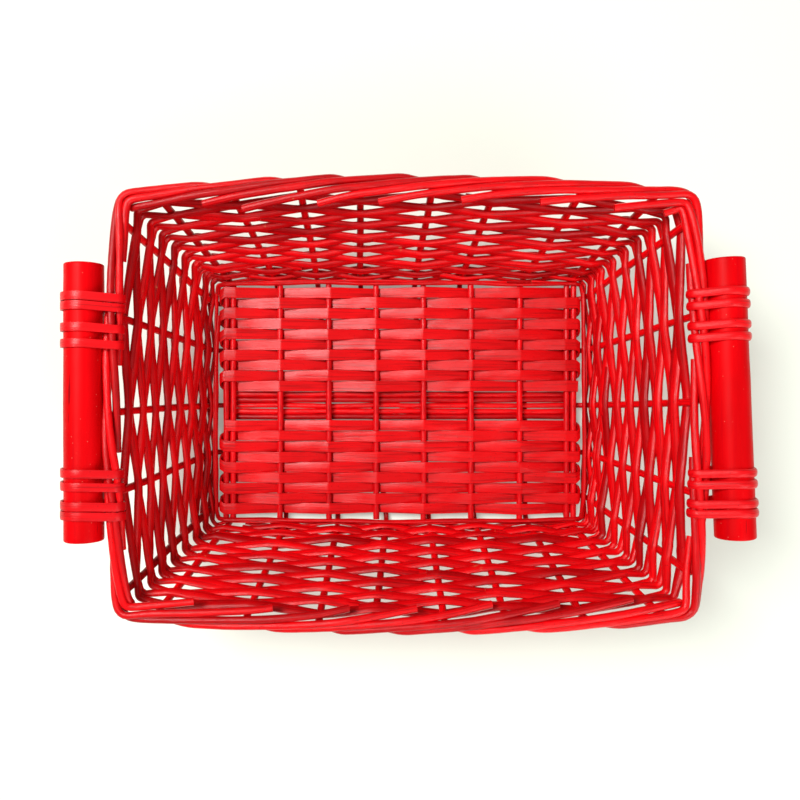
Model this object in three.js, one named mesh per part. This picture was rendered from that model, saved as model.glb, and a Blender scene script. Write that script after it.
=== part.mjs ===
// Rectangular wicker basket with two wooden rod handles lashed to its short ends.
// Millimetres, +Z up, +X towards the right-hand handle, +Y towards the back long side.
// The origin is the middle of the footprint, on the surface that the basket stands on.
import * as THREE from 'three';

// Rods, splints and lashing cane
const STAKE_D = 4.0;
const WEAVER_W = 4.8;
const WEAVER_T = 2.6;
const CENTRE_ROD_D = 3.4;
const STICK_D = 4.6;
const SPLINT_W = 7.0;
const SPLINT_T = 1.4;
const CANE_W = 5.0;
const CANE_T = 2.6;
const SEAT_GAP = 0.3;

// Plan of the wall at its foot and at its rim, measured at the corners
const FOOT_HALF_X = 136.0;
const FOOT_HALF_Y = 89.0;
const FOOT_BOW = 1.0;
const FOOT_CORNER_R = 7.0;
const RIM_HALF_X = 171.7;
const RIM_HALF_Y = 125.5;
const RIM_BOW_X = 6.5;
const RIM_BOW_Y = 8.0;
const RIM_CORNER_R = 7.5;
const RIM_Z = 104.0;
const FOOT_BEND_R = 8.0;
const FOOT_RISE = 2.5;

// Stakes: where each one leaves the base at its two ends and where it reaches the rim there, as
// shares of half a side
const SIDE_STAKES = [
  { front: { foot: -0.915, rim: -0.884 }, back: { foot: -0.915, rim: -0.883 } },
  { front: { foot: -0.619, rim: -0.571 }, back: { foot: -0.67, rim: -0.623 } },
  { front: { foot: -0.332, rim: -0.311 }, back: { foot: -0.44, rim: -0.377 } },
  { front: { foot: -0.073, rim: -0.113 }, back: { foot: -0.213, rim: -0.162 } },
  { front: { foot: 0.16, rim: 0.137 }, back: { foot: 0.085, rim: 0.097 } },
  { front: { foot: 0.41, rim: 0.359 }, back: { foot: 0.33, rim: 0.324 } },
  { front: { foot: 0.69, rim: 0.631 }, back: { foot: 0.665, rim: 0.63 } },
  { front: { foot: 0.915, rim: 0.9 }, back: { foot: 0.92, rim: 0.89 } },
];
const END_STAKES = [
  { left: { foot: -0.855, rim: -0.915 }, right: { foot: -0.776, rim: -0.822 } },
  { left: { foot: -0.42, rim: -0.433 }, right: { foot: -0.42, rim: -0.433 } },
  { left: { foot: -0.032, rim: -0.035 }, right: { foot: -0.032, rim: 0.014 } },
  { left: { foot: 0.42, rim: 0.433 }, right: { foot: 0.42, rim: 0.433 } },
  { left: { foot: 0.813, rim: 0.892 }, right: { foot: 0.855, rim: 0.889 } },
];

// Weaving of the wall
const COURSES = 15;
const FOOT_COURSES = 3;
const FIRST_COURSE = 4.0;
const FOOT_COURSE_GAP = 0.3;
const CROSSING_GAP = 0.5;
const ROD_END_GAP = 1.5;
const ROD_END_STEP = 6;

// Border: each stake runs on as one of four strands, twisted together along the short sides and
// laid beside each other in a wider band along the long sides
const STRANDS = 4;
const STRAND_GAP = 0.4;
const BORDER_BEND_R = 4.5;
const TAIL_INTERVALS = 3.7;
const BAND_OUT = 4.4;
const BAND_UP = 3.2;
const BAND_IN = 4.8;
const BAND_FALL = 2.6;

// Base mat
const STICK_SHARES = [0.126, 0.378, 0.637];
const PAIR_GAP = 0.4;
const ROW_GAP = 0.5;
const MAT_CLEARANCE = 0.4;
const CENTRE_RODS = 5;
const CENTRE_ROD_GAP = 0.5;
const BAND_GAP = 1.0;
const STICK_END = 1.5;
const STICK_BEVEL = 0.8;
const STICK_TIP = 0.75;
const FLAT_ON_STICK = 0.35;
const SPLINT_TURN = 2.6;
const TURN_SHOULDER = 0.4;
const TURN_LEAN = 0.6;
const TURN_STEPS = [0.3, 0.5, 0.7];

// Handles and their lashings
const HANDLE_D = 23.6;
const HANDLE_DROP = 1.0;
const HANDLE_EDGE = 1.2;
const HANDLE_PAST_BACK = 18.0;
const HANDLE_PAST_FRONT = 14.0;
const RIGHT_HANDLE_TILT = THREE.MathUtils.degToRad(2.3);
const TURN_GAP = 0.5;
const CANE_SHOULDER = 0.1;
const BEND_ALLOWANCE = 1.5;

// Number of sides of the faceted rods
const ROD_SIDES = 5;
const STICK_SIDES = 10;
const HANDLE_SIDES = 28;

const RED = 0xd8101a;
const DEEP_RED = 0xb00d15;
const wallPaint = new THREE.MeshStandardMaterial({ color: RED, roughness: 0.5, metalness: 0 });
const basePaint = new THREE.MeshStandardMaterial({ color: DEEP_RED, roughness: 0.55, metalness: 0 });
const splintPaint = new THREE.MeshStandardMaterial({ color: RED, roughness: 0.6, metalness: 0 });
const handlePaint = new THREE.MeshStandardMaterial({ color: RED, roughness: 0.4, metalness: 0 });
const canePaint = new THREE.MeshStandardMaterial({ color: RED, roughness: 0.45, metalness: 0 });

const UP = new THREE.Vector3(0, 0, 1);
const DOWN = new THREE.Vector3(0, 0, -1);
const ALONG_Y = new THREE.Vector3(0, 1, 0);

// A solid skinned over rings of points, with a flat cap on each end ring.
function skin(rings) {
  const sides = rings[0].length;
  const corners = rings.flat().flatMap((point) => [point.x, point.y, point.z]);
  const faces = [];
  for (let ring = 0; ring < rings.length - 1; ring++) {
    for (let side = 0; side < sides; side++) {
      const next = (side + 1) % sides;
      const a = ring * sides + side;
      const b = ring * sides + next;
      faces.push(a, b, b + sides, a, b + sides, a + sides);
    }
  }
  const last = (rings.length - 1) * sides;
  for (let side = 1; side < sides - 1; side++) {
    faces.push(0, side + 1, side);
    faces.push(last, last + side, last + side + 1);
  }
  const geometry = new THREE.BufferGeometry();
  geometry.setAttribute('position', new THREE.Float32BufferAttribute(corners, 3));
  geometry.setIndex(faces);
  geometry.computeVertexNormals();
  return geometry;
}

function directionAt(points, i) {
  const before = points[Math.max(i - 1, 0)];
  const after = points[Math.min(i + 1, points.length - 1)];
  return after.clone().sub(before).normalize();
}

// A round or flattened rod along points. A flat of the rod faces `facing` at the point `home`,
// and the section is carried from there to both ends without twisting.
function rod(points, width, sides, facing, home = 0, thickness = width) {
  const rings = new Array(points.length);
  const placeRing = (i, direction, mark) => {
    const across = new THREE.Vector3().crossVectors(direction, mark).normalize();
    const flat = new THREE.Vector3().crossVectors(across, direction).normalize();
    rings[i] = Array.from({ length: sides }, (_, side) => {
      const angle = ((side + 0.5) / sides) * 2 * Math.PI;
      return points[i].clone()
        .addScaledVector(flat, Math.cos(angle) * width / 2)
        .addScaledVector(across, Math.sin(angle) * thickness / 2);
    });
    return flat;
  };
  const homeMark = placeRing(home, directionAt(points, home), facing);
  for (const step of [1, -1]) {
    let mark = homeMark.clone();
    let direction = directionAt(points, home);
    for (let i = home + step; i >= 0 && i < points.length; i += step) {
      const next = directionAt(points, i);
      const turn = new THREE.Quaternion().setFromUnitVectors(direction, next);
      mark = placeRing(i, next, mark.applyQuaternion(turn));
      direction = next;
    }
  }
  return skin(rings);
}

// The rings of a flat strip along points that keeps its width parallel to Y. Its profile is a
// list of [along Y, out of the strip's plane] pairs.
function stripRings(points, profile) {
  return points.map((point, i) => {
    const direction = directionAt(points, i);
    const out = new THREE.Vector3(-direction.z, 0, direction.x).normalize();
    return profile.map(([across, rise]) => point.clone()
      .addScaledVector(ALONG_Y, across)
      .addScaledVector(out, rise));
  });
}

// The points of a path whose corner at `corner` is rounded with an arc.
function roundedCorner(before, corner, after, radius, steps) {
  const back = before.clone().sub(corner).normalize();
  const on = after.clone().sub(corner).normalize();
  const half = back.angleTo(on) / 2;
  const middle = back.clone().add(on).normalize();
  const centre = corner.clone().addScaledVector(middle, radius / Math.sin(half));
  const start = corner.clone().addScaledVector(back, radius / Math.tan(half)).sub(centre);
  const sweep = Math.PI - 2 * half;
  const axis = new THREE.Vector3().crossVectors(back, on).normalize().negate();
  return Array.from({ length: steps + 1 }, (_, i) => start.clone()
    .applyAxisAngle(axis, sweep * i / steps)
    .add(centre));
}

// Wall surface: the loop runs anticlockwise seen from above, side by side. Each side has its
// stakes, then three points round the corner that follows it.
const strandRadius = (STAKE_D + STRAND_GAP) / Math.sqrt(2);
const borderRadius = strandRadius + STAKE_D / 2;
const flatToCentre = STAKE_D / 2 * Math.cos(Math.PI / ROD_SIDES);
const sideLayerZ = flatToCentre;
const endLayerZ = flatToCentre + STAKE_D + SEAT_GAP;
const footZ = endLayerZ + FOOT_RISE;
const wallTopZ = RIM_Z - strandRadius;
const SIDES = [
  { name: 'right', along: new THREE.Vector3(0, 1, 0), out: new THREE.Vector3(1, 0, 0), stakes: END_STAKES },
  { name: 'back', along: new THREE.Vector3(-1, 0, 0), out: new THREE.Vector3(0, 1, 0), stakes: SIDE_STAKES },
  { name: 'left', along: new THREE.Vector3(0, -1, 0), out: new THREE.Vector3(-1, 0, 0), stakes: END_STAKES },
  { name: 'front', along: new THREE.Vector3(1, 0, 0), out: new THREE.Vector3(0, -1, 0), stakes: SIDE_STAKES },
];
const CORNER_ANGLES = [15, 45, 75].map(THREE.MathUtils.degToRad);

function planOfSide(side, level) {
  const short = side.stakes === END_STAKES;
  const foot = level === 'foot';
  const halfX = foot ? FOOT_HALF_X : RIM_HALF_X;
  const halfY = foot ? FOOT_HALF_Y : RIM_HALF_Y;
  const rimBow = short ? RIM_BOW_X : RIM_BOW_Y;
  return {
    length: short ? halfY : halfX,
    reach: short ? halfX : halfY,
    bow: foot ? FOOT_BOW : rimBow,
    radius: foot ? FOOT_CORNER_R : RIM_CORNER_R,
    z: foot ? footZ : wallTopZ,
  };
}

function stakePlace(side, stake, level) {
  const plan = planOfSide(side, level);
  const forward = side.along.x + side.along.y;
  const share = stake[side.name][level] * forward;
  return new THREE.Vector3(0, 0, plan.z)
    .addScaledVector(side.along, share * plan.length)
    .addScaledVector(side.out, plan.reach + plan.bow * (1 - share * share));
}

function cornerPlace(side, angle, level) {
  const plan = planOfSide(side, level);
  return new THREE.Vector3(0, 0, plan.z)
    .addScaledVector(side.along, plan.length - plan.radius * (1 - Math.sin(angle)))
    .addScaledVector(side.out, plan.reach - plan.radius * (1 - Math.cos(angle)));
}

const wall = [];
for (const side of SIDES) {
  const forward = side.along.x + side.along.y > 0;
  const stakes = forward ? side.stakes : side.stakes.toReversed();
  for (const stake of stakes) {
    const foot = stakePlace(side, stake, 'foot');
    const rim = stakePlace(side, stake, 'rim');
    const rise = rim.clone().sub(foot).normalize();
    const normal = new THREE.Vector3().crossVectors(side.along, rise).normalize();
    wall.push({ side, stake, foot, rim, normal });
  }
  for (const angle of CORNER_ANGLES) {
    const foot = cornerPlace(side, angle, 'foot');
    const rim = cornerPlace(side, angle, 'rim');
    const normal = side.out.clone().multiplyScalar(Math.cos(angle))
      .addScaledVector(side.along, Math.sin(angle));
    wall.push({ side, stake: null, foot, rim, normal });
  }
}

// Counts stakes along the loop: a whole number at each stake, and a part of one in proportion
// to the way gone at the corner points between two stakes.
const stakePosts = wall.filter((post) => post.stake);
function countAlongLoop() {
  let count = 0;
  for (let i = 0; i < wall.length; i++) {
    if (!wall[i].stake) continue;
    wall[i].count = count;
    const stretch = [wall[i]];
    for (let j = i + 1; !stretch.at(-1).stake || stretch.length === 1; j++) {
      stretch.push(wall[j % wall.length]);
    }
    const way = [0];
    for (let j = 1; j < stretch.length; j++) {
      way.push(way[j - 1] + stretch[j].rim.distanceTo(stretch[j - 1].rim));
    }
    for (let j = 1; j < stretch.length - 1; j++) {
      stretch[j].count = count + way[j] / way.at(-1);
    }
    count++;
  }
}
countAlongLoop();

function wallPoint(post, share) {
  return post.foot.clone().lerp(post.rim, share);
}

// Weavers: one flattened rod for each course, in front of one stake and behind the next. The courses
// near the foot are beaten down close, and the top one leaves room for the lashings.
const wallSlant = stakePosts[2].rim.distanceTo(stakePosts[2].foot);
const crossing = (STAKE_D + WEAVER_T) / 2 + CROSSING_GAP;
const footPitch = WEAVER_W + FOOT_COURSE_GAP;
const topCourse = wallSlant - borderRadius + strandRadius - CANE_T - crossing - WEAVER_W / 2;
const lastFootCourse = FIRST_COURSE + footPitch * (FOOT_COURSES - 1);
const coursePitch = (topCourse - lastFootCourse) / (COURSES - FOOT_COURSES);

function courseHeight(course) {
  if (course < FOOT_COURSES) return FIRST_COURSE + footPitch * course;
  return lastFootCourse + coursePitch * (course - FOOT_COURSES + 1);
}

// Odd stakes count from the top course, which passes inside the stakes under the lashings.
// `up` is the way of the rod's width where it starts.
function weaverRun(course) {
  const share = courseHeight(course) / wallSlant;
  const fromTop = COURSES - 1 - course;
  const sign = (count) => ((Math.floor(count) + fromTop) % 2 === 0 ? 1 : -1);
  const posts = wall.map((post) => {
    const from = sign(post.count) * crossing;
    const part = post.count - Math.floor(post.count);
    const offset = from * (1 - 2 * part);
    return wallPoint(post, share).addScaledVector(post.normal, offset);
  });
  const outside = stakePosts.filter((post) => sign(post.count) > 0);
  const meet = outside[(course * ROD_END_STEP) % outside.length];
  const start = wall.indexOf(meet);
  const loop = [...posts.slice(start), ...posts.slice(0, start + 1)];
  const first = loop[0].clone();
  loop[0].lerp(loop[1], ROD_END_GAP / 2 / first.distanceTo(loop[1]));
  const last = loop.length - 1;
  loop[last] = first.lerp(loop[last - 1], ROD_END_GAP / 2 / first.distanceTo(loop[last - 1]));
  return { path: loop, up: meet.rim.clone().sub(meet.foot).normalize() };
}

function weaverMesh(course) {
  const { path, up } = weaverRun(course);
  const name = `weaver_${String(course + 1).padStart(2, '0')}`;
  return namedMesh(name, rod(path, WEAVER_W, ROD_SIDES, up, 0, WEAVER_T), wallPaint);
}

// Border: the centre line of the rope goes through the tops of the stakes and the corners.
const borderCurve = new THREE.CatmullRomCurve3(
  wall.map((post) => new THREE.Vector3(post.rim.x, post.rim.y, RIM_Z)), true, 'centripetal');

// Stations round the border: at every stake and corner point and between them.
const borderStations = [];
wall.forEach((post, i) => {
  const next = wall[(i + 1) % wall.length];
  const nextCount = next.count > post.count ? next.count : stakePosts.length;
  const plain = post.stake && next.stake;
  const nearCorner = Boolean(post.stake) !== Boolean(next.stake);
  const parts = plain ? [0, 1 / 3, 2 / 3] : nearCorner ? [0, 1 / 2] : [0];
  for (const part of parts) {
    const place = (i + part) / wall.length;
    const centre = borderCurve.getPoint(place);
    const out = new THREE.Vector3().crossVectors(borderCurve.getTangent(place), UP).normalize();
    borderStations.push({ count: THREE.MathUtils.lerp(post.count, nextCount, part), centre, out });
  }
});

// Where a strand lies after so many intervals: [outwards, up] from the middle of the border.
// It turns round in the rope of a short side, and slants inwards over the band of a long one.
function placeInBorder(gone, longShare) {
  const turn = gone / STRANDS * 2 * Math.PI;
  const past = Math.max(gone - STRANDS / 2, 0);
  const rope = [strandRadius * Math.sin(turn), -strandRadius * Math.cos(turn)];
  const band = past > 0
    ? [-BAND_IN * past, BAND_UP - BAND_FALL * past ** 2]
    : [BAND_OUT * Math.sin(turn), -BAND_UP * Math.cos(turn)];
  return rope.map((value, i) => THREE.MathUtils.lerp(value, band[i], longShare));
}

// 1 on a long side, 0 on a short one, and between these where the border turns a corner.
function longShareAt(count) {
  const before = stakePosts[Math.floor(count)];
  const after = stakePosts[Math.floor(count + 1) % stakePosts.length];
  const [from, to] = [before, after].map((post) => (post.side.stakes === SIDE_STAKES ? 1 : 0));
  return THREE.MathUtils.lerp(from, to, count % 1);
}

// A tail leaves its stake at the bottom of the border, goes up the outside, over the top and
// down the inside, and is cut off there.
function tailPath(post) {
  const stations = borderStations.length;
  const start = borderStations.findIndex((station) => Math.abs(station.count - post.count) < 1e-6);
  const path = [];
  for (let i = 0; i < stations; i++) {
    const station = borderStations[(start + i) % stations];
    const wrapped = station.count < post.count ? station.count + stakePosts.length : station.count;
    const gone = wrapped - post.count;
    if (gone > TAIL_INTERVALS) break;
    const [outwards, up] = placeInBorder(gone, longShareAt(station.count));
    path.push(station.centre.clone().addScaledVector(station.out, outwards).addScaledVector(UP, up));
  }
  return path;
}

// Half of a stake from the middle of the base to its cut end in the border.
function halfStake(post, middle) {
  const slope = post.foot.clone().sub(post.rim).divideScalar(post.foot.z - post.rim.z);
  const heel = post.foot.clone().addScaledVector(slope, middle.z - post.foot.z);
  const tail = tailPath(post);
  return [
    ...roundedCorner(middle, heel, tail[0], FOOT_BEND_R, 3),
    ...roundedCorner(heel, tail[0], tail[1], BORDER_BEND_R, 3),
    ...tail.slice(1),
  ];
}

// A stake is one long rod: up one wall, and under the base to the opposite wall.
function stakeMesh(name, stake, sides, layerZ) {
  const [near, far] = sides.map((side) => wall.find((post) => post.stake === stake && post.side === side));
  const middle = near.foot.clone().add(far.foot).multiplyScalar(0.5).setZ(layerZ);
  const one = halfStake(near, middle);
  const other = halfStake(far, middle);
  const path = [...one.toReversed(), middle, ...other];
  return namedMesh(name, rod(path, STAKE_D, ROD_SIDES, DOWN, one.length), wallPaint);
}

function namedMesh(name, geometry, material) {
  const mesh = new THREE.Mesh(geometry, material);
  mesh.name = name;
  return mesh;
}

// Base mat: round sticks from front to back, with flat splints woven from side to side and
// turned round a pair of sticks at each end.
const underZ = endLayerZ + STAKE_D / 2 + SEAT_GAP + SPLINT_T / 2;
const stickZ = underZ + SPLINT_T / 2 + SEAT_GAP + STICK_D / 2;
const overZ = stickZ + STICK_D / 2 + SEAT_GAP + SPLINT_T / 2;
const slopeX = (RIM_HALF_X - FOOT_HALF_X) / (wallTopZ - footZ);
const slopeY = (RIM_HALF_Y - FOOT_HALF_Y) / (wallTopZ - footZ);
const innerFace = crossing + WEAVER_T / 2;
const firstCourseZ = footZ + FIRST_COURSE / Math.hypot(1, slopeX);
const matHalfX = FOOT_HALF_X + slopeX * (firstCourseZ - footZ) - innerFace - MAT_CLEARANCE;
const matHalfY = FOOT_HALF_Y + slopeY * (firstCourseZ - footZ) - innerFace - MAT_CLEARANCE;
const outerStickX = matHalfX - SPLINT_T - SPLINT_TURN - STICK_D / 2;
const innerStickX = outerStickX - STICK_D - PAIR_GAP;
const singleStickX = STICK_SHARES.map((share) => share * FOOT_HALF_X);
const stickX = [...singleStickX, innerStickX, outerStickX];
const allStickX = [...stickX.toReversed().map((x) => -x), ...stickX];

function stickMesh(index) {
  const x = allStickX[index];
  const ends = [-matHalfY, matHalfY].map((y) => new THREE.Vector3(x, y, stickZ));
  const bevels = [STICK_BEVEL - matHalfY, matHalfY - STICK_BEVEL].map((y) => new THREE.Vector3(x, y, stickZ));
  const points = [ends[0], bevels[0], bevels[1], ends[1]];
  const taper = [STICK_TIP, 1, 1, STICK_TIP];
  const rings = points.map((point, i) => Array.from({ length: STICK_SIDES }, (_, side) => {
    const angle = side / STICK_SIDES * 2 * Math.PI;
    const radius = STICK_D / 2 * taper[i];
    return new THREE.Vector3(point.x - Math.cos(angle) * radius, point.y, point.z + Math.sin(angle) * radius);
  }));
  return namedMesh(`base_stick_${index + 1}`, skin(rings), basePaint);
}

// The strip of splint crosses the stick groups in turn, over one and under the next.
const stickGroups = [
  [-outerStickX, -innerStickX],
  ...singleStickX.toReversed().map((x) => [-x, -x]),
  ...singleStickX.map((x) => [x, x]),
  [innerStickX, outerStickX],
];
const splintProfile = [
  [-SPLINT_W / 2, -SPLINT_T / 2],
  [SPLINT_W / 2, -SPLINT_T / 2],
  [SPLINT_W / 2, SPLINT_T / 2],
  [-SPLINT_W / 2, SPLINT_T / 2],
];

// Its first row goes east from the first group if `phase` is 0, and west if it is 1.
function splintPath(firstY, stepY, rows, phase) {
  const path = [];
  for (let row = 0; row < rows; row++) {
    const y = firstY + stepY * row;
    const eastward = (row + phase) % 2 === 0;
    const groups = stickGroups.map(([low, high], i) => (
      { low, high, over: (i + row + phase) % 2 === 0 }));
    const crossings = eastward ? groups : groups.toReversed();
    for (const group of crossings) {
      const z = group.over ? overZ : underZ;
      const single = group.low === group.high;
      const half = single ? STICK_D * FLAT_ON_STICK : 0;
      const ends = [group.low - half, group.high + half];
      for (const x of eastward ? ends : ends.toReversed()) path.push(new THREE.Vector3(x, y, z));
    }
    if (row === rows - 1) break;
    const turnX = (eastward ? 1 : -1) * (matHalfX - SPLINT_T / 2);
    const shoulderX = (eastward ? 1 : -1) * (matHalfX - SPLINT_T / 2 - SPLINT_TURN * TURN_SHOULDER);
    const rise = path.at(-1).z > stickZ ? 1 : -1;
    const lean = rise * (overZ - stickZ) * TURN_LEAN;
    const turnPoints = [[shoulderX, stickZ + lean], [turnX, stickZ], [shoulderX, stickZ - lean]];
    turnPoints.forEach(([x, z], i) => path.push(new THREE.Vector3(x, y + stepY * TURN_STEPS[i], z)));
  }
  return path;
}

const centreY = END_STAKES[2].left.foot * FOOT_HALF_Y;
const nextToStake = (STAKE_D + CENTRE_ROD_D) / 2 + CENTRE_ROD_GAP;
const centrePitch = CENTRE_ROD_D + CENTRE_ROD_GAP;
const centreHalf = nextToStake + centrePitch * (CENTRE_RODS - 3) / 2 + CENTRE_ROD_D / 2 + BAND_GAP;
const rowPitch = SPLINT_W + ROW_GAP;

function splintMesh(name, side) {
  const firstY = centreY + side * (centreHalf + SPLINT_W / 2);
  const room = matHalfY - STICK_END - side * firstY - SPLINT_W / 2;
  const rows = 1 + Math.floor(room / rowPitch);
  const phase = side > 0 ? 1 : 0;
  const rings = stripRings(splintPath(firstY, side * rowPitch, rows, phase), splintProfile);
  return namedMesh(name, skin(rings), splintPaint);
}

// Handles: round wooden rods with eased ends, resting against the outside of the border.
const seatDistance = HANDLE_D / 2 + borderRadius + SEAT_GAP;
const seatReach = Math.sqrt(seatDistance ** 2 - HANDLE_DROP ** 2);
const handleZ = RIM_Z - HANDLE_DROP;

function borderReachAt(y) {
  const share = y / RIM_HALF_Y;
  return RIM_HALF_X + RIM_BOW_X * (1 - share * share);
}

// Lashings: the four turns of each stand two on each side of a stake. The slack is the free
// way from the stake to the inner turn and from that to the outer one, first towards the front.
const LASHINGS = [
  { name: 'lashing_left_back', side: -1, stake: END_STAKES[3].left, front: [0.5, 4.2], back: [0.8, 0] },
  { name: 'lashing_left_front', side: -1, stake: END_STAKES[1].left, front: [0, 0.4], back: [0, 2.3] },
  { name: 'lashing_right_back', side: 1, stake: END_STAKES[3].right, front: [0.1, 1.7], back: [0.6, 1.8] },
  { name: 'lashing_right_front', side: 1, stake: END_STAKES[1].right, front: [0, 0.2], back: [0, 1.2] },
];
const turnPitch = CANE_W + TURN_GAP;
const turnClear = STAKE_D / 2 + CANE_W / 2 + CROSSING_GAP;
const passZ = RIM_Z - borderRadius - CANE_T;
const passShare = (passZ - footZ) / (wallTopZ - footZ);

function turnPlaces(lashing) {
  const { foot, rim } = lashing.stake;
  const stakeY = THREE.MathUtils.lerp(foot * FOOT_HALF_Y, rim * RIM_HALF_Y, passShare);
  const frontBend = lashing.side < 0 ? BEND_ALLOWANCE : 0;
  const backBend = lashing.side > 0 ? BEND_ALLOWANCE : 0;
  const frontInner = stakeY - turnClear - frontBend - lashing.front[0];
  const backInner = stakeY + turnClear + backBend + lashing.back[0];
  return [
    frontInner - turnPitch - lashing.front[1],
    frontInner,
    backInner,
    backInner + turnPitch + lashing.back[1],
  ];
}

const HANDLES = [
  { name: 'handle_left', side: -1, tilt: 0 },
  { name: 'handle_right', side: 1, tilt: RIGHT_HANDLE_TILT },
].map((handle) => {
  const turns = LASHINGS.filter((lashing) => lashing.side === handle.side).flatMap(turnPlaces);
  const frontY = Math.min(...turns) - CANE_W / 2 - HANDLE_PAST_FRONT;
  const backY = Math.max(...turns) + CANE_W / 2 + HANDLE_PAST_BACK;
  let reach = 0;
  for (let y = frontY; y <= backY; y += 1) {
    reach = Math.max(reach, borderReachAt(y) + seatReach + y * Math.tan(handle.tilt));
  }
  const axisX = (y) => handle.side * (reach - y * Math.tan(handle.tilt));
  return { ...handle, frontY, backY, axisX };
});

function handleMesh(handle) {
  const length = (handle.backY - handle.frontY) / Math.cos(handle.tilt);
  const radius = HANDLE_D / 2;
  const profile = [
    new THREE.Vector2(0, -length / 2),
    new THREE.Vector2(radius - HANDLE_EDGE, -length / 2),
    new THREE.Vector2(radius, -length / 2 + HANDLE_EDGE),
    new THREE.Vector2(radius, length / 2 - HANDLE_EDGE),
    new THREE.Vector2(radius - HANDLE_EDGE, length / 2),
    new THREE.Vector2(0, length / 2),
  ];
  const mesh = namedMesh(handle.name, new THREE.LatheGeometry(profile, HANDLE_SIDES), handlePaint);
  const middleY = (handle.frontY + handle.backY) / 2;
  mesh.position.set(handle.axisX(middleY), middleY, handleZ);
  mesh.rotation.z = handle.side * handle.tilt;
  return mesh;
}

// One lashing is a single length of half-round cane, wound round the handle and the border.
// It crosses from turn to turn under the handle.
const TURNS = 4;
const ARC_STEPS = { under: 5, border: 5, top: 6 };
const TUCKED_STEPS = 2;
const LARGEST_STEP = THREE.MathUtils.degToRad(26);
const caneProfile = [
  [-CANE_W / 2, -CANE_T / 2],
  [CANE_W / 2, -CANE_T / 2],
  [CANE_W / 2, CANE_T * CANE_SHOULDER],
  [CANE_W / 4, CANE_T / 2],
  [-CANE_W / 4, CANE_T / 2],
  [-CANE_W / 2, CANE_T * CANE_SHOULDER],
];

function lashingPath(lashing) {
  const handle = HANDLES.find((one) => one.side === lashing.side);
  const chord = Math.cos(LARGEST_STEP / 2);
  const handleR = (HANDLE_D / 2 + SEAT_GAP) / chord + CANE_T / 2;
  const borderR = (borderRadius + SEAT_GAP) / chord + CANE_T / 2;
  const turns = turnPlaces(lashing);
  const path = [];
  const addArc = (arc, steps, first, last, fromY, toY) => {
    for (let i = first; i <= last; i++) {
      const angle = THREE.MathUtils.lerp(arc.from, arc.to, i / steps);
      const x = arc.centre.x + arc.radius * Math.cos(angle);
      const z = arc.centre.y + arc.radius * Math.sin(angle);
      path.push(new THREE.Vector3(lashing.side * x, THREE.MathUtils.lerp(fromY, toY, i / steps), z));
    }
  };
  const arcsAt = (y) => {
    const handleAt = new THREE.Vector2(Math.abs(handle.axisX(y)), handleZ);
    const borderAt = new THREE.Vector2(borderReachAt(y), RIM_Z);
    const inward = borderAt.clone().sub(handleAt);
    const tangent = Math.acos((handleR - borderR) / inward.length());
    const lean = inward.angle();
    return {
      under: { centre: handleAt, radius: handleR, from: lean - Math.PI, to: lean - 2 * Math.PI + tangent },
      border: { centre: borderAt, radius: borderR, from: lean + tangent, to: lean - tangent },
      top: { centre: handleAt, radius: handleR, from: lean - tangent, to: lean - Math.PI },
    };
  };
  turns.forEach((y, turn) => {
    const arcs = arcsAt(y);
    const fromY = turns[turn - 1] ?? y - turnPitch;
    const firstStep = turn === 0 ? ARC_STEPS.under - TUCKED_STEPS : 1;
    addArc(arcs.under, ARC_STEPS.under, firstStep, ARC_STEPS.under, fromY, y);
    addArc(arcs.border, ARC_STEPS.border, 0, ARC_STEPS.border, y, y);
    addArc(arcs.top, ARC_STEPS.top, 0, ARC_STEPS.top, y, y);
  });
  const lastY = turns.at(-1);
  addArc(arcsAt(lastY).under, ARC_STEPS.under, 1, TUCKED_STEPS, lastY, lastY + turnPitch);
  return lashing.side < 0 ? path.toReversed() : path;
}

// The least distance between the edges of neighbouring turns, on points along both edges.
const EDGE_POINTS = 8;
function leastGap(rings) {
  const edgePoints = [];
  for (let i = 0; i < rings.length - 1; i++) {
    for (let corner = 0; corner < rings[i].length; corner++) {
      for (let part = 0; part < EDGE_POINTS; part++) {
        const point = rings[i][corner].clone().lerp(rings[i + 1][corner], part / EDGE_POINTS);
        edgePoints.push({ point, along: i + part / EDGE_POINTS });
      }
    }
  }
  const halfTurn = rings.length / (2 * TURNS);
  let least = Infinity;
  for (const one of edgePoints) {
    for (const other of edgePoints) {
      if (other.along - one.along < halfTurn) continue;
      least = Math.min(least, one.point.distanceTo(other.point));
    }
  }
  return least;
}

function lashingMesh(lashing) {
  const rings = stripRings(lashingPath(lashing), caneProfile);
  console.log(`${lashing.name}: least gap to itself ${leastGap(rings).toFixed(2)} mm`);
  return namedMesh(lashing.name, skin(rings), canePaint);
}

const basket = new THREE.Group();
SIDE_STAKES.forEach((stake, i) => {
  basket.add(stakeMesh(`side_stake_${i + 1}`, stake, [SIDES[3], SIDES[1]], sideLayerZ));
});
END_STAKES.forEach((stake, i) => {
  basket.add(stakeMesh(`end_stake_${i + 1}`, stake, [SIDES[2], SIDES[0]], endLayerZ));
});
const centreRodZ = endLayerZ + (STAKE_D - CENTRE_ROD_D) / 2;
let centreRod = 0;
for (let i = 0; i < CENTRE_RODS; i++) {
  const place = i - (CENTRE_RODS - 1) / 2;
  if (place === 0) continue;
  centreRod++;
  const y = centreY + Math.sign(place) * (nextToStake + centrePitch * (Math.abs(place) - 1));
  const reach = matHalfX - FOOT_BEND_R / 2;
  const ends = [-reach, reach].map((x) => new THREE.Vector3(x, y, centreRodZ));
  basket.add(namedMesh(`centre_rod_${centreRod}`, rod(ends, CENTRE_ROD_D, STICK_SIDES, DOWN), basePaint));
}
allStickX.forEach((x, i) => basket.add(stickMesh(i)));
basket.add(splintMesh('base_splint_back', 1));
basket.add(splintMesh('base_splint_front', -1));
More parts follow.
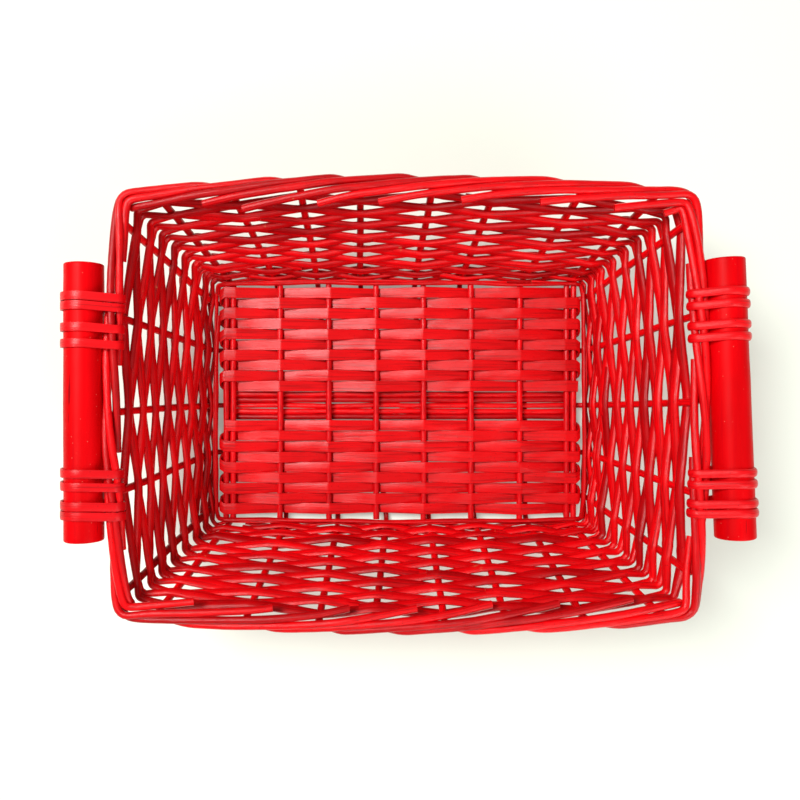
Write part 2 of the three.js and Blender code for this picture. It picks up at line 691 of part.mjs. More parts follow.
for (let course = 0; course < COURSES; course++) basket.add(weaverMesh(course));
for (const handle of HANDLES) basket.add(handleMesh(handle));
for (const lashing of LASHINGS) basket.add(lashingMesh(lashing));

// Middle of the footprint at the origin
const footprint = new THREE.Box3().setFromObject(basket, true);
const middle = footprint.getCenter(new THREE.Vector3());
basket.position.set(-middle.x, -middle.y, -footprint.min.z);

export default basket;
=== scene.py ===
# A rectangular willow basket stained red, with a round wooden rod lashed outside each short end.
# Metres, +Z up, +X towards the right-hand rod, +Y towards the back long side.
import math
import random

import bpy
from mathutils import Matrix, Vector, noise


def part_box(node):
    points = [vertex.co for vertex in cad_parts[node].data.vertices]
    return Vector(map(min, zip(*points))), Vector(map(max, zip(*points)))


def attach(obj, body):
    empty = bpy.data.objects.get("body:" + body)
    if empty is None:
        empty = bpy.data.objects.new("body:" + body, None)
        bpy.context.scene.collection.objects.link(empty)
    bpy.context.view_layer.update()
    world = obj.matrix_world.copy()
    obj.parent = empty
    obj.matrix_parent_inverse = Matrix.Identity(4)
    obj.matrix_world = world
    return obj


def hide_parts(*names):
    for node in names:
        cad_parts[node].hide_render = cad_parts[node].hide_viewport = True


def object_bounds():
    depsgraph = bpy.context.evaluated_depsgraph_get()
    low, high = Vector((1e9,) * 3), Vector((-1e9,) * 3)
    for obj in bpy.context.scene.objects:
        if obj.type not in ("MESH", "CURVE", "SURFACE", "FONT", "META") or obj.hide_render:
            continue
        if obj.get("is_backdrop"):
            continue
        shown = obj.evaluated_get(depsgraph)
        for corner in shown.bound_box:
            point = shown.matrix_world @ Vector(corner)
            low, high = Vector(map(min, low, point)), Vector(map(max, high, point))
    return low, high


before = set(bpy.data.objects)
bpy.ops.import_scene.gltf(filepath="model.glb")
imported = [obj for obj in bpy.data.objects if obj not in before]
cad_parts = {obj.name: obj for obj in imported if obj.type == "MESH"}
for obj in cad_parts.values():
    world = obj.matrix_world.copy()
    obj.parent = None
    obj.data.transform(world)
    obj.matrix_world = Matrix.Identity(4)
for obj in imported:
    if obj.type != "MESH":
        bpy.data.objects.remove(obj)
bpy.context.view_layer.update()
bpy.ops.object.select_all(action="DESELECT")


# Side and end stakes
# Thirteen peeled willow rods make the frame. Each runs under the base from one wall to the one
# across from it, turns up at both ends, and is bent over at the rim, where its two tails run on
# as strands of the border.
STAKE_D = 0.0040
STAKE_BASE_D = STAKE_D * 0.96
STAKE_WALL_D = 0.0049
STAKE_TIP_D = 0.0038
STOUT_FROM = 0.08
STAKE_WANDER = 0.0007
STAKE_LUMP_SIZE = 0.007
FOOT_HALF = (0.136, 0.089)
FOOT_BOW = 0.001
FOOT_CORNER_R = 0.007
RIM_HALF = (0.1717, 0.1255)
RIM_BOW_ENDS = 0.0065
RIM_BOW_SIDES = 0.008
RIM_CORNER_R = 0.004
RIM_Z = 0.104
FOOT_RISE = 0.0025
FOOT_BEND = 0.007
RIM_BEND = 0.0045
CORNER_ANGLES = (15, 45, 75)

# Where each stake leaves the base and where it reaches the rim, as shares of half a side: first at
# the front or the left, then at the back or the right
SIDE_STAKES = (
    ((-0.915, -0.884), (-0.915, -0.883)),
    ((-0.619, -0.571), (-0.67, -0.623)),
    ((-0.332, -0.311), (-0.44, -0.377)),
    ((-0.073, -0.113), (-0.213, -0.162)),
    ((0.16, 0.137), (0.085, 0.097)),
    ((0.41, 0.359), (0.33, 0.324)),
    ((0.69, 0.631), (0.665, 0.63)),
    ((0.915, 0.9), (0.92, 0.89)),
)
END_STAKES = (
    ((-0.855, -0.915), (-0.776, -0.822)),
    ((-0.42, -0.433), (-0.42, -0.433)),
    ((-0.032, -0.035), (-0.032, 0.014)),
    ((0.42, 0.433), (0.42, 0.433)),
    ((0.813, 0.892), (0.855, 0.889)),
)

# Border of four strands, twisted together along the short sides and laid side by side in a wider
# band along the long ones. Each tail is cut off past its third neighbour, at its own share of the
# next interval. The band's places are the intervals gone, the way out and the way up.
STRANDS = 4
STRAND_D = 0.0047
STRAND_GAP = 0.0001
STRAND_R = (STRAND_D + STRAND_GAP) / math.sqrt(2)
BAND = (
    (0.0, 0.0004, -0.0034), (0.4, 0.0047, -0.0026), (1.4, 0.0013, 0.0006),
    (2.4, -0.0029, 0.0024), (3.1, -0.0064, 0.0006), (3.9, -0.0120, -0.0038),
)
STRAND_LAG = 0.06
STRAND_LOOSE = (0.95, 1.12)
STRAND_SETTLE = 0.6
BAND_PLAY = 0.006
STRAND_EASE = 2
TAIL_STEP = 0.07
LOOK_AHEAD = 0.02
RIGHT_CUTS = (0.5, 0.85, 0.6, 0.5, 0.55)
BACK_CUTS = (0.75, 0.72, 0.84, 0.36, 0.55, 0.49, 0.51, 0.49)
LEFT_CUTS = (0.5, 0.4, 0.45, 0.36, 0.54)
FRONT_CUTS = (0.61, 0.78, 0.68, 0.6, 0.45, 0.5, 0.4, 0.5)
CORNER_PULL = 7
PULL_FROM = 0.5
PULL_SHORT = 0.1

# How grown wood differs from a drawn line: it wanders, swells, and has small lumps
ROD_SIDES = 10
RING_SPACING = 0.0028
WANDER_REACH = 0.045
SWELLING = 0.07
SWELLING_REACH = 0.018
LUMP_SIZE = 0.006
LUMP_HEIGHT = 0.0003
GRAIN_DEPTH = 0.0004
NOISE_SEED = 5

WILLOW_PALE = (0.90, 0.0008, 0.004, 1)
WILLOW_DEEP = (0.42, 0.0002, 0.002, 1)

left_stick, right_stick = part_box("base_stick_1"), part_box("base_stick_10")
middle_x = (left_stick[0].x + right_stick[1].x) / 2
middle_y = (left_stick[0].y + left_stick[1].y) / 2
MIDDLE = Vector((middle_x, middle_y, 0))
side_layer_z = STAKE_D / 2
end_layer_z = side_layer_z + STAKE_D
foot_z = end_layer_z + FOOT_RISE
wall_top_z = RIM_Z - STRAND_R

# noise_vector takes its offsets from the clock unless it has a seed
noise.seed_set(NOISE_SEED)


class Side:
    """One side of the basket: the way along it, anticlockwise, and the way out of it."""

    def __init__(self, along, out, stakes, cuts):
        self.along = Vector(along)
        self.out = Vector(out)
        self.stakes = stakes
        self.cuts = cuts
        self.is_end = stakes is END_STAKES
        self.stake_end = 1 if self.out.x + self.out.y > 0 else 0
        self.axis = 1 if self.is_end else 0
        self.forward = self.along.x + self.along.y

    def halves(self, at_rim):
        """Half the basket along this side, and half of it across, at the rim or at the foot."""
        half = RIM_HALF if at_rim else FOOT_HALF
        return half[self.axis], half[1 - self.axis]

    def place(self, along, out, at_rim):
        point = self.along * along + self.out * out
        return MIDDLE + point + Vector((0, 0, wall_top_z if at_rim else foot_z))

    def stake_point(self, share, at_rim):
        half_along, half_across = self.halves(at_rim)
        rim_bow = RIM_BOW_ENDS if self.is_end else RIM_BOW_SIDES
        bow = rim_bow if at_rim else FOOT_BOW
        out = half_across + bow * (1 - share * share)
        return self.place(share * self.forward * half_along, out, at_rim)

    def corner_point(self, degrees, at_rim):
        half_along, half_across = self.halves(at_rim)
        radius = RIM_CORNER_R if at_rim else FOOT_CORNER_R
        angle = math.radians(degrees)
        along = half_along - radius * (1 - math.sin(angle))
        out = half_across - radius * (1 - math.cos(angle))
        return self.place(along, out, at_rim)


SIDES = (
    Side((0, 1, 0), (1, 0, 0), END_STAKES, RIGHT_CUTS),
    Side((-1, 0, 0), (0, 1, 0), SIDE_STAKES, BACK_CUTS),
    Side((0, -1, 0), (-1, 0, 0), END_STAKES, LEFT_CUTS),
    Side((1, 0, 0), (0, -1, 0), SIDE_STAKES, FRONT_CUTS),
)


class Post:
    """A line up the wall: a stake, or a line between two stakes where the wall turns a corner."""

    def __init__(self, foot, rim, normal, stake=None, side=None, cut=0.0):
        self.foot = foot
        self.rim = rim
        self.normal = normal
        self.stake = stake
        self.side = side
        self.cut = cut
        self.count = 0.0


def posts_round_the_wall(corner_angles):
    """All posts, anticlockwise. A stake's count is a whole number, a corner post's a part."""
    posts = []
    for side in SIDES:
        order = side.stakes if side.forward > 0 else tuple(reversed(side.stakes))
        for stake, cut in zip(order, side.cuts):
            foot_share, rim_share = stake[side.stake_end]
            foot = side.stake_point(foot_share, False)
            rim = side.stake_point(rim_share, True)
            normal = side.along.cross(rim - foot).normalized()
            posts.append(Post(foot, rim, normal, stake, side, cut))
        for degrees in corner_angles:
            angle = math.radians(degrees)
            normal = side.out * math.cos(angle) + side.along * math.sin(angle)
            foot = side.corner_point(degrees, False)
            posts.append(Post(foot, side.corner_point(degrees, True), normal))
    at_stakes = [i for i, post in enumerate(posts) if post.stake]
    for count, start in enumerate(at_stakes):
        end = at_stakes[count + 1] if count + 1 < len(at_stakes) else len(posts)
        stretch = posts[start:end] + [posts[end % len(posts)]]
        gone = [0.0]
        for here, there in zip(stretch, stretch[1:]):
            gone.append(gone[-1] + (there.rim - here.rim).length)
        for post, way in zip(stretch[:-1], gone):
            post.count = count + way / gone[-1]
    return posts


rope_posts = posts_round_the_wall(CORNER_ANGLES)
stake_posts = [post for post in rope_posts if post.stake]
STAKE_ENDS = len(stake_posts)


def rope_centre(count):
    """The middle of the border at this count of stakes, on a centripetal Catmull-Rom curve."""
    count %= STAKE_ENDS
    total = len(rope_posts)
    i = max(k for k, post in enumerate(rope_posts) if post.count <= count + 1e-9)
    next_count = rope_posts[i + 1].count if i + 1 < total else STAKE_ENDS
    part = (count - rope_posts[i].count) / (next_count - rope_posts[i].count)
    near = [rope_posts[(i + k) % total].rim for k in (-1, 0, 1, 2)]
    knots = [0.0]
    for here, there in zip(near, near[1:]):
        knots.append(knots[-1] + math.sqrt((there - here).length))
    at = knots[1] + part * (knots[2] - knots[1])

    def blend(a, b, low, high):
        return a.lerp(b, (at - knots[low]) / (knots[high] - knots[low]))

    first = [blend(near[k], near[k + 1], k, k + 1) for k in range(3)]
    second = [blend(first[k], first[k + 1], k, k + 2) for k in range(2)]
    centre = blend(second[0], second[1], 1, 2)
    return Vector((centre.x, centre.y, RIM_Z))


def rounded(corners, reach, steps=5):
    """A path with each corner eased from `reach` before it to `reach` after it."""
    reaches = reach if isinstance(reach, list) else [reach] * len(corners)
    path = [corners[0]]
    for i in range(1, len(corners) - 1):
        before, corner, after = corners[i - 1:i + 2]
        start = corner.lerp(before, min(0.5, reaches[i] / (before - corner).length))
        end = corner.lerp(after, min(0.5, reaches[i] / (after - corner).length))
        for step in range(steps + 1):
            part = step / steps
            path.append(start.lerp(corner, part).lerp(corner.lerp(end, part), part))
    path.append(corners[-1])
    return path


def with_rings(path, spacing):
    """The same path with a point at least every `spacing`."""
    full = [path[0]]
    for here, there in zip(path, path[1:]):
        length = (there - here).length
        if length < 1e-7:
            continue
        parts = max(1, round(length / spacing))
        full += [here.lerp(there, part / parts) for part in range(1, parts + 1)]
    return full


def path_length(path):
    return sum((there - here).length for here, there in zip(path, path[1:]))


def only(piece):
    bpy.ops.object.select_all(action="DESELECT")
    piece.select_set(True)
    bpy.context.view_layer.objects.active = piece


def noise_shift(chance):
    """A place of its own in the noise for each rod."""
    return Vector((chance.uniform(0, 9), chance.uniform(0, 9), chance.uniform(0, 9)))


def finish_rod_mesh(piece, length, tone):
    """Closes the mesh, marks its cut ends and its shade, and measures its UV along the rod."""
    only(piece)
    bpy.ops.object.mode_set(mode="EDIT")
    bpy.ops.mesh.select_all(action="SELECT")
    bpy.ops.mesh.remove_doubles(threshold=1e-6)
    bpy.ops.mesh.normals_make_consistent(inside=False)
    bpy.ops.object.mode_set(mode="OBJECT")
    mesh = piece.data
    for corner in mesh.uv_layers.active.data:
        corner.uv.y *= length
    shade = mesh.attributes.new("tone", "FLOAT", "POINT")
    shade.data.foreach_set("value", [tone] * len(mesh.vertices))
    cut = mesh.attributes.new("cut", "FLOAT", "FACE")
    cut.data.foreach_set("value", [1.0 if face.loop_total > 4 else 0.0 for face in mesh.polygons])
    bpy.ops.object.shade_smooth_by_angle(angle=math.radians(50))


def lumps(piece, size=LUMP_SIZE, height=LUMP_HEIGHT):
    """Slow swellings and hollows of the grown wood."""
    texture = bpy.data.textures.new(piece.name + "_lumps", "CLOUDS")
    texture.noise_scale = size
    bend = piece.modifiers.new("lumps", "DISPLACE")
    bend.texture = texture
    bend.texture_coords = "LOCAL"
    bend.strength = height
    bend.mid_level = 0.5
    only(piece)
    bpy.ops.object.modifier_apply(modifier=bend.name)


def willow_rod(name, path, start_d, end_d, wander=0.0, sides=ROD_SIDES, stout=None):
    """A round rod along a path, from its butt to its thinner tip, with square cut ends. `stout`
    gives what the diameter gains at a point."""
    chance = random.Random(name)
    path = with_rings(path, RING_SPACING)
    shift = noise_shift(chance)
    length = path_length(path)
    bpy.ops.curve.primitive_bezier_curve_add(location=(0, 0, 0))
    rod = bpy.context.object
    rod.name = name
    curve = rod.data
    curve.splines.clear()
    curve.dimensions = "3D"
    curve.twist_mode = "MINIMUM"
    spline = curve.splines.new("POLY")
    spline.points.add(len(path) - 1)
    gone = 0.0
    for i, (knot, point) in enumerate(zip(spline.points, path)):
        gone += (point - path[i - 1]).length if i else 0.0
        sway = noise.noise_vector(point / WANDER_REACH + shift) * wander
        swell = 1 + SWELLING * noise.noise(point / SWELLING_REACH + shift)
        diameter = start_d + (end_d - start_d) * gone / length + (stout(point) if stout else 0.0)
        knot.co = (point + sway).to_4d()
        knot.radius = diameter / STAKE_D * swell
    curve.bevel_depth = STAKE_D / 2
    curve.bevel_resolution = (sides - 4) // 2
    curve.use_fill_caps = True
    only(rod)
    bpy.ops.object.convert(target="MESH")
    rod = bpy.context.object
    finish_rod_mesh(rod, length, chance.random())
    return rod


def joined(pieces, name):
    bpy.ops.object.select_all(action="DESELECT")
    for piece in pieces:
        piece.select_set(True)
    bpy.context.view_layer.objects.active = pieces[0]
    bpy.ops.object.join()
    pieces[0].name = name
    pieces[0].data.name = name
    return pieces[0]


def place_in_border(gone, long_share, lag, loose):
    """Outwards and up from the middle of the border, this many intervals from the strand's stake."""
    settled = min(1.0, gone / STRAND_SETTLE)
    turn = (gone / STRANDS + lag * settled) * math.tau
    radius = STRAND_R * (1 + (loose - 1) * settled)
    rope = Vector((radius * math.sin(turn), -radius * math.cos(turn)))
    i = max(k for k, place in enumerate(BAND[:-1]) if place[0] <= gone)
    part = (gone - BAND[i][0]) / (BAND[i + 1][0] - BAND[i][0])
    band = Vector(BAND[i][1:]).lerp(Vector(BAND[i + 1][1:]), part)
    band += Vector((loose - 1, lag * 0.5)) * BAND_PLAY * settled
    return rope.lerp(band, long_share)


def long_share_at(count):
    """1 on a long side, 0 on a short one, and between these where the border turns a corner."""
    before = stake_posts[math.floor(count) % STAKE_ENDS].side
    after = stake_posts[math.floor(count + 1) % STAKE_ENDS].side
    part = count % 1
    return (0 if before.is_end else 1 - part) + (0 if after.is_end else part)


def strand_path(post, chance):
    """A stake's tail: from the bottom of the border up its outside, over it and down inside. It
    is smoothed, and then pulled tight where it lies inside the rim's corner."""
    length = STRANDS - 1 + post.cut
    lag = chance.uniform(-STRAND_LAG, STRAND_LAG)
    loose = chance.uniform(*STRAND_LOOSE)
    path = []
    pulls = []
    steps = round(length / TAIL_STEP)
    for step in range(steps + 1):
        gone = length * step / steps
        count = post.count + gone
        centre = rope_centre(count)
        mitred = (rope_centre(count + LOOK_AHEAD) - centre).cross(Vector((0, 0, 1)))
        mitred /= max(abs(mitred.x), abs(mitred.y))
        out, up = place_in_border(gone, long_share_at(count), lag, loose)
        path.append(centre + mitred * out + Vector((0, 0, up)))
        pulled = PULL_FROM < gone < length - PULL_SHORT
        pulls.append(max(0.0, min(1.0, -out / STRAND_R)) if pulled else 0.0)
    for _ in range(STRAND_EASE):
        eased = [before.lerp(here, 0.5).lerp(here.lerp(after, 0.5), 0.5)
                 for before, here, after in zip(path, path[1:], path[2:])]
        path = path[:1] + eased + path[-1:]
    for _ in range(CORNER_PULL):
        eased = path[:1]
        for before, here, after, pull in zip(path, path[1:], path[2:], pulls[1:]):
            eased.append(here.lerp((before + after) / 2, 0.5 * pull))
        path = eased + path[-1:]
    return path


def half_stake(post, middle, chance):
    """From under the base up the wall and on into the border."""
    rise = (post.rim - post.foot) / (post.rim.z - post.foot.z)
    heel = post.foot + rise * (middle.z - post.foot.z)
    tail = strand_path(post, chance)
    start = next(i for i, point in enumerate(tail) if (point - tail[0]).length > RIM_BEND)
    bends = rounded([middle, heel, tail[0], tail[start]], [0, FOOT_BEND, RIM_BEND, 0])
    return bends + tail[start + 1:]


def stouter_in_the_wall(point):
    """What a stake gains above its foot. It is slimmest under the base, where it is pared."""
    rise = (point.z - foot_z) / (wall_top_z - foot_z)
    return (STAKE_WALL_D - STAKE_D) * max(0.0, min(1.0, rise / STOUT_FROM))


def add_stake(node, stake, layer_z):
    near, far = [post for post in stake_posts if post.stake is stake]
    middle = (near.foot + far.foot) / 2
    middle.z = layer_z
    halves = []
    for end, post in (("a", near), ("b", far)):
        chance = random.Random(node + end)
        path = half_stake(post, middle, chance)
        halves.append(willow_rod(f"{node}_{end}", path, STAKE_BASE_D, STAKE_TIP_D,
                                 wander=STAKE_WANDER, stout=stouter_in_the_wall))
    stake_piece = joined(halves, node + "_rod")
    lumps(stake_piece, STAKE_LUMP_SIZE)
    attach(stake_piece, "root")
    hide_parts(node)
    return stake_piece


def shader(tree, kind, inputs=None, **settings):
    """A new node. Each input is given a value, or the socket that feeds it."""
    node = tree.nodes.new("ShaderNode" + kind)
    for setting, value in settings.items():
        setattr(node, setting, value)
    for socket, value in (inputs or {}).items():
        if isinstance(value, bpy.types.NodeSocket):
            tree.links.new(value, node.inputs[socket])
        else:
            node.inputs[socket].default_value = value
    return node


def mixed(tree, share, first, second):
    """The colour between two colours."""
    inputs = {0: share, 6: first, 7: second}
    return shader(tree, "Mix", inputs, data_type="RGBA").outputs[2]


def sum_of(tree, first, second):
    return shader(tree, "Math", {0: first, 1: second}, operation="ADD").outputs[0]


def product_of(tree, first, second):
    return shader(tree, "Math", {0: first, 1: second}, operation="MULTIPLY").outputs[0]


def between(tree, value, low, high, to_low=0.0, to_high=1.0):
    """The value from low to high spread over another range, and held at its ends."""
    inputs = {"Value": value, "From Min": low, "From Max": high, "To Min": to_low, "To Max": to_high}
    return shader(tree, "MapRange", inputs).outputs[0]


def along_the_grain(tree, round_it, along_it):
    """A place on the rod's skin: round it without a seam, and along it in metres."""
    uv = shader(tree, "UVMap", uv_map="UVMap").outputs[0]
    split = shader(tree, "SeparateXYZ", {0: uv})
    turn = product_of(tree, split.outputs[0], math.tau)
    places = []
    for kind in ("COSINE", "SINE"):
        wave = shader(tree, "Math", {0: turn}, operation=kind).outputs[0]
        places.append(product_of(tree, wave, round_it))
    along = product_of(tree, split.outputs[1], along_it)
    return shader(tree, "CombineXYZ", {0: places[0], 1: places[1], 2: along}).outputs[0]


def fresh_material(name):
    material = bpy.data.materials.new(name)
    material.use_nodes = True
    material.node_tree.nodes.clear()
    return material


def finish_surface(tree, colour, roughness, height, relief, gloss):
    """Ends a material with its colour, roughness and gloss, and a fine relief from a height."""
    grain = {"Strength": relief, "Distance": GRAIN_DEPTH, "Height": height}
    bump = shader(tree, "Bump", grain).outputs[0]
    inputs = {"Base Color": colour, "Roughness": roughness, "Normal": bump}
    surface = shader(tree, "BsdfPrincipled", inputs)
    surface.inputs["Specular IOR Level"].default_value = gloss
    shader(tree, "OutputMaterial", {"Surface": surface.outputs[0]})


def stained_wood(name, pale, deep, streaks=(3.0, 55.0), rough=(0.26, 0.40), worn=0.71, grain=0.35,
                 gloss=0.28):
    """Red stain under a thin lacquer: streaked along the grain, rubbed through in a few spots,
    with small pits and specks, and the paler wood of the cut ends."""
    wood = (0.56, 0.20, 0.085, 1)
    material = fresh_material(name)
    tree = material.node_tree
    place = shader(tree, "TexCoord").outputs["Object"]
    skin = along_the_grain(tree, *streaks)
    tone = shader(tree, "Attribute", attribute_name="tone").outputs["Fac"]
    patch = shader(tree, "TexNoise", {"Vector": place, "Scale": 38.0, "Detail": 3.0}).outputs[0]
    streak = shader(tree, "TexNoise", {"Vector": skin, "Scale": 1.0, "Detail": 5.0}).outputs[0]
    fine = shader(tree, "TexNoise", {"Vector": skin, "Scale": 3.4, "Detail": 4.0}).outputs[0]
    speck = shader(tree, "TexVoronoi", {"Vector": place, "Scale": 330.0}).outputs[0]
    rub = shader(tree, "TexNoise", {"Vector": place, "Scale": 62.0, "Detail": 4.0, "Roughness": 0.62})
    colour = mixed(tree, between(tree, sum_of(tree, tone, patch), 0.45, 1.45), deep, pale)
    dark = tuple(channel * 0.5 for channel in deep[:3]) + (1,)
    colour = mixed(tree, between(tree, streak, 0.50, 0.28, 0.0, 0.75), colour, dark)
    colour = mixed(tree, between(tree, speck, 0.16, 0.07, 0.0, 0.6), colour, dark)
    rubbed = between(tree, rub.outputs[0], worn, worn + 0.035)
    threads = between(tree, fine, 0.42, 0.56)
    colour = mixed(tree, product_of(tree, rubbed, threads), colour, wood)
    cut_end = shader(tree, "Attribute", attribute_name="cut").outputs["Fac"]
    colour = mixed(tree, cut_end, colour, mixed(tree, 0.62, wood, pale))
    roughness = between(tree, fine, 0.3, 0.7, *rough)
    finish_surface(tree, colour, roughness, sum_of(tree, streak, fine), grain, gloss)
    return material


willow_red = stained_wood("willow_red", WILLOW_PALE, WILLOW_DEEP)
for number, stake in enumerate(SIDE_STAKES, 1):
    add_stake(f"side_stake_{number}", stake, side_layer_z).data.materials.append(willow_red)
for number, stake in enumerate(END_STAKES, 1):
    add_stake(f"end_stake_{number}", stake, end_layer_z).data.materials.append(willow_red)


# Centre rods
# Four thin peeled rods lie beside the middle end stake and fill the open band between the two
# woven panels of the base. They are pushed in from the ends under the base sticks.
CENTRE_RODS = 4
CENTRE_BUTT = 1.36
CENTRE_TIP = 1.26
CENTRE_WANDER = 0.0004

for number in range(1, CENTRE_RODS + 1):
    node = f"centre_rod_{number}"
    low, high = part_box(node)
    y = (low.y + high.y) / 2
    z = (low.z + high.z) / 2
    rod_d = high.z - low.z
    ends = [Vector((low.x, y, z)), Vector((high.x, y, z))]
    rod = willow_rod(node + "_rod", ends, rod_d * CENTRE_BUTT, rod_d * CENTRE_TIP, CENTRE_WANDER)
    lumps(rod)
    rod.data.materials.append(willow_red)
    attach(rod, "root")
    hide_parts(node)


# Base sticks
# Ten thicker round sticks lie from front to back on the stakes, a pair at each end and six single
# ones. The splints of the base are woven round them.
STICKS = 10
STICK_WHITTLE = 0.004
STICK_TIP = 0.97
STICK_WANDER = 0.0004
STICK_SIDES = 14
STICK_LUMP_SIZE = 0.008
STICK_PALE = (0.88, 0.0012, 0.005, 1)
STICK_DEEP = (0.50, 0.0004, 0.003, 1)

stick_red = stained_wood("base_stick_red", STICK_PALE, STICK_DEEP)
for number in range(1, STICKS + 1):
    node = f"base_stick_{number}"
    low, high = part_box(node)
    stick_d = high.z - low.z
    x = (low.x + high.x) / 2
    z = (low.z + high.z) / 2
    ends = (low.y, low.y + STICK_WHITTLE, high.y - STICK_WHITTLE, high.y)
    path = [Vector((x, y, z)) for y in ends]
    stick = willow_rod(node + "_rod", path, stick_d, stick_d * STICK_TIP, STICK_WANDER, STICK_SIDES)
    lumps(stick, STICK_LUMP_SIZE)
    stick.data.materials.append(stick_red)
    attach(stick, "root")
    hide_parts(node)


# Splints of the base
# Two long flat splints of pale wood, stained red, are woven back and forth over and under the
# sticks and turned round the end pair: one behind the open band, one in front of it.
SPLINT_W = 0.0077
SPLINT_EDGE = 0.0035
SPLINT_T = 0.0012
SPLINT_PITCH = 0.0075
SPLINT_SEAT = 0.0001
SPLINT_CREASE = 0.0008
SPLINT_CREST = 0.0015
SPLINT_SLIP = (-0.3, 1.0)
SPLINT_PLAY = 0.00035
SPLINT_TURN = 0.0026
SPLINT_TURN_POINTS = ((0.3, 0.7), (0.7, -0.7))
SPLINT_RINGS = 0.0035
SPLINT_CROWN = 0.0002
SPLINT_EDGE_SHARE = 0.94
SPLINT_CREST_GAIN = 0.05
SPLINT_SWELLING = 0.03
SPLINT_LEAN = 0.10
SPLINT_LUMP_HEIGHT = 0.00018
SPLINT_PALE = (0.88, 0.0006, 0.004, 1)
SPLINT_DEEP = (0.60, 0.0003, 0.002, 1)

stick_boxes = [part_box(f"base_stick_{number}") for number in range(1, STICKS + 1)]
stick_x = [(low.x + high.x) / 2 for low, high in stick_boxes]
stick_z = (stick_boxes[0][0].z + stick_boxes[0][1].z) / 2
stick_r = (stick_boxes[0][1].z - stick_boxes[0][0].z) / 2
stick_groups = [stick_x[:2]] + [[x, x] for x in stick_x[2:-2]] + [stick_x[-2:]]
splint_rise = stick_r + SPLINT_SEAT + SPLINT_T / 2


def splint_rows(first_y, step_y, rows, starts_east):
    """The corners of a splint's path, row by row, over one group of sticks and under the next."""
    corners = []
    for row in range(rows):
        chance = random.Random(f"splint row {first_y:.4f} {row}")
        y = first_y + step_y * row
        eastward = (row % 2 == 0) == starts_east
        groups = list(enumerate(stick_groups))
        for i, group in groups if eastward else reversed(groups):
            over = (i + row) % 2 == (0 if starts_east else 1)
            z = stick_z + (splint_rise if over else -splint_rise)
            slip = chance.uniform(*SPLINT_SLIP) * SPLINT_CREST if over else 0.0
            half = 0.0 if group[0] == group[1] else SPLINT_CREST
            ends = [group[0] + slip - half, group[1] + slip + half]
            if group[0] == group[1]:
                ends = ends[:1]
            for x in ends if eastward else reversed(ends):
                corners.append(Vector((x, y + chance.uniform(-SPLINT_PLAY, SPLINT_PLAY), z)))
        if row == rows - 1:
            break
        way = 1 if eastward else -1
        edge = (stick_x[-1] if eastward else stick_x[0]) + way * (stick_r + SPLINT_T / 2)
        rise = 1 if corners[-1].z > stick_z else -1
        for across, lift in SPLINT_TURN_POINTS:
            z = stick_z + rise * lift * splint_rise
            corners.append(Vector((edge + way * SPLINT_TURN * 0.5, y + step_y * across, z)))
    return corners


def flat_profile(width, thickness, crown):
    """The outline of a flat splint's end: rounded edges and a slightly crowned face."""
    outline = []
    for step in range(7):
        share = step / 3 - 1
        outline.append((share * width / 2 * SPLINT_EDGE_SHARE, -thickness / 2))
    outline.append((width / 2, 0.0))
    for step in range(7):
        share = 1 - step / 3
        rise = thickness / 2 + crown * (1 - share * share)
        outline.append((share * width / 2 * SPLINT_EDGE_SHARE, rise))
    outline.append((-width / 2, 0.0))
    return outline


def along_y(ahead):
    """The way of a strip's width where it lies along Y, whatever the way ahead is."""
    return Vector((0, 1, 0))


def swept_strip(name, path, profile, across_at, shape=None):
    """A strip along a path. `across_at` gives the way of its width for the way ahead, and `shape`
    its width, thickness and lean."""
    columns = len(profile)
    bpy.ops.mesh.primitive_grid_add(x_subdivisions=columns, y_subdivisions=len(path) - 1)
    strip = bpy.context.object
    strip.name = name
    vertices = strip.data.vertices
    for i, point in enumerate(path):
        ahead = (path[min(i + 1, len(path) - 1)] - path[max(i - 1, 0)]).normalized()
        level = across_at(ahead)
        out = ahead.cross(level).normalized()
        width, thickness, lean = shape(i, point) if shape else (1.0, 1.0, 0.0)
        across = level * math.cos(lean) + out * math.sin(lean)
        for column in range(columns + 1):
            side, rise = profile[column % columns]
            place = point + across * side * width + out * rise * thickness
            vertices[i * (columns + 1) + column].co = place
    only(strip)
    bpy.ops.object.mode_set(mode="EDIT")
    bpy.ops.mesh.select_all(action="SELECT")
    bpy.ops.mesh.remove_doubles(threshold=1e-6)
    bpy.ops.mesh.fill_holes(sides=0)
    bpy.ops.object.mode_set(mode="OBJECT")
    finish_rod_mesh(strip, path_length(path), random.Random(name).random())
    return strip


def add_splint(node, towards_back):
    low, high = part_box(node)
    way = 1 if towards_back else -1
    first_y = low.y + SPLINT_EDGE if towards_back else high.y - SPLINT_EDGE
    rows = round((high.y - low.y) / SPLINT_PITCH)
    corners = splint_rows(first_y, way * SPLINT_PITCH, rows, not towards_back)
    path = with_rings(rounded(corners, SPLINT_CREASE, steps=4), SPLINT_RINGS)

    def shape(i, point):
        height = (point.z - stick_z) / splint_rise
        swelling = SPLINT_SWELLING * noise.noise(point / 0.02)
        width = 1.0 + SPLINT_CREST_GAIN * height + swelling
        return width, 1.0, SPLINT_LEAN * noise.noise(point / 0.013)

    profile = flat_profile(SPLINT_W, SPLINT_T, SPLINT_CROWN)
    splint = swept_strip(node + "_strip", path, profile, along_y, shape)
    lumps(splint, height=SPLINT_LUMP_HEIGHT)
    splint.data.materials.append(splint_red)
    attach(splint, "root")
    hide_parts(node)


splint_red = stained_wood("splint_red", SPLINT_PALE, SPLINT_DEEP, streaks=(2.2, 30.0),
                          rough=(0.26, 0.36), worn=0.76, grain=0.25, gloss=0.26)
add_splint("base_splint_back", True)
add_splint("base_splint_front", False)


